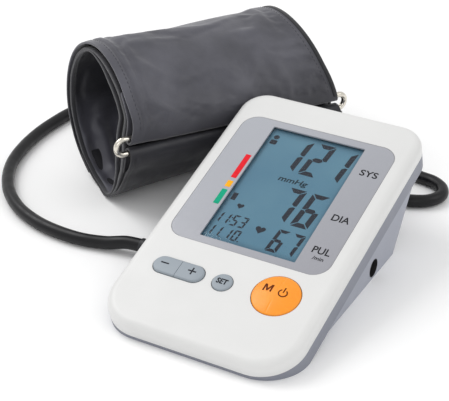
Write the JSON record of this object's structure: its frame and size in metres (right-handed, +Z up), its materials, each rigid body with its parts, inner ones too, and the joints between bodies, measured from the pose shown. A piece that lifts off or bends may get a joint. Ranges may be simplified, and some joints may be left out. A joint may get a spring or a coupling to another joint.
{
  "type": "upper arm blood pressure monitor",
  "caption": "Desktop upper arm blood pressure monitor with a sloping display, keys, and a rolled cuff on a black air hose.",
  "frame": {"origin": "centre of the monitor's footprint, on the surface it stands on", "axes": "+X across the display to the user's right, +Y away from the user, +Z up"},
  "size_m": [0.2709, 0.3063, 0.0937],
  "materials": {
    "white_shell": "satin",
    "grey_shell": "satin",
    "silver_panel": "satin",
    "clear_lens": "gloss",
    "lcd": "gloss",
    "light_guide": "gloss",
    "natural_plastic": "matte",
    "contact_rubber": "matte",
    "circuit_board": "satin",
    "black_plastic": "satin",
    "grey_key": "satin",
    "orange_key": "satin",
    "cell_jacket": "satin",
    "spring_steel": "satin",
    "silicone": "matte",
    "motor_can": "satin",
    "black_rubber": "matte",
    "cuff_fabric": "matte",
    "lining_fabric": "matte",
    "chrome_wire": "polished"
  },
  "bodies": {
    "monitor": {"top_case": "white_shell", "bottom_case": "grey_shell", "display_panel": "silver_panel", "display_window": "clear_lens", "lcd_glass": "lcd", "lcd_backlight": "light_guide", "lcd_frame": "natural_plastic", "lcd_contact_strips": "contact_rubber", "main_board": "circuit_board", "control_chip": "black_plastic", "key_switches": "black_plastic", "buzzer": "black_plastic", "pressure_sensor": "natural_plastic", "batteries": "cell_jacket", "battery_springs": "spring_steel", "battery_plates": "spring_steel", "rubber_feet": "black_rubber", "case_screws": "spring_steel", "dc_jack": "black_plastic", "air_socket": "grey_shell", "air_manifold": "natural_plastic", "release_valve": "motor_can", "valve_tube": "silicone", "pump_tube": "silicone", "pump_motor": "motor_can", "pump_head": "natural_plastic", "pump_sleeve": "black_rubber"},
    "rocker": {"rocker_key": "grey_key"},
    "set_button": {"set_key": "grey_key"},
    "main_button": {"main_key": "orange_key"},
    "battery_door": {"battery_cover": "grey_shell"},
    "cuff_set": {"air_plug": "black_plastic", "hose": "black_rubber", "hose_gland": "black_rubber", "cuff_cover": "cuff_fabric", "cuff_lining": "lining_fabric", "cuff_bladder": "black_rubber", "cuff_flap": "cuff_fabric", "fastening_patch": "lining_fabric", "ring_sleeve": "cuff_fabric"},
    "ring": {"d_ring": "chrome_wire"}
  },
  "joints": [
    {"name": "rocker_tilt", "type": "hinge", "parent": "monitor", "child": "rocker", "pos_m": [-0.0271, -0.05137, 0.01933], "axis": [0, 0.9583, 0.2857], "range_deg": [-2.4, 2.4], "stiffness_Nm_per_rad": 0.06},
    {"name": "set_press", "type": "slide", "parent": "monitor", "child": "set_button", "axis": [0, 0.2857, -0.9583], "range_m": [0, 0.0006], "stiffness_N_per_m": 600, "springref_m": -0.0002},
    {"name": "main_tilt", "type": "hinge", "parent": "monitor", "child": "main_button", "pos_m": [0.0302, -0.04922, 0.02018], "axis": [0, 0.9583, 0.2857], "range_deg": [-2.4, 2.4], "stiffness_Nm_per_rad": 0.1},
    {"name": "battery_door_slide", "type": "slide", "parent": "monitor", "child": "battery_door", "axis": [0, 1, 0], "range_m": [0, 0.014]},
    {"name": "hose_unplug", "type": "slide", "parent": "monitor", "child": "cuff_set", "axis": [-1, 0, 0], "range_m": [0, 0.02]},
    {"name": "ring_swing", "type": "hinge", "parent": "cuff_set", "child": "ring", "pos_m": [-0.06428, 0.07402, 0.03922], "axis": [0.4521, 0.8873, -0.0906], "range_deg": [-3, 3]}
  ]
}
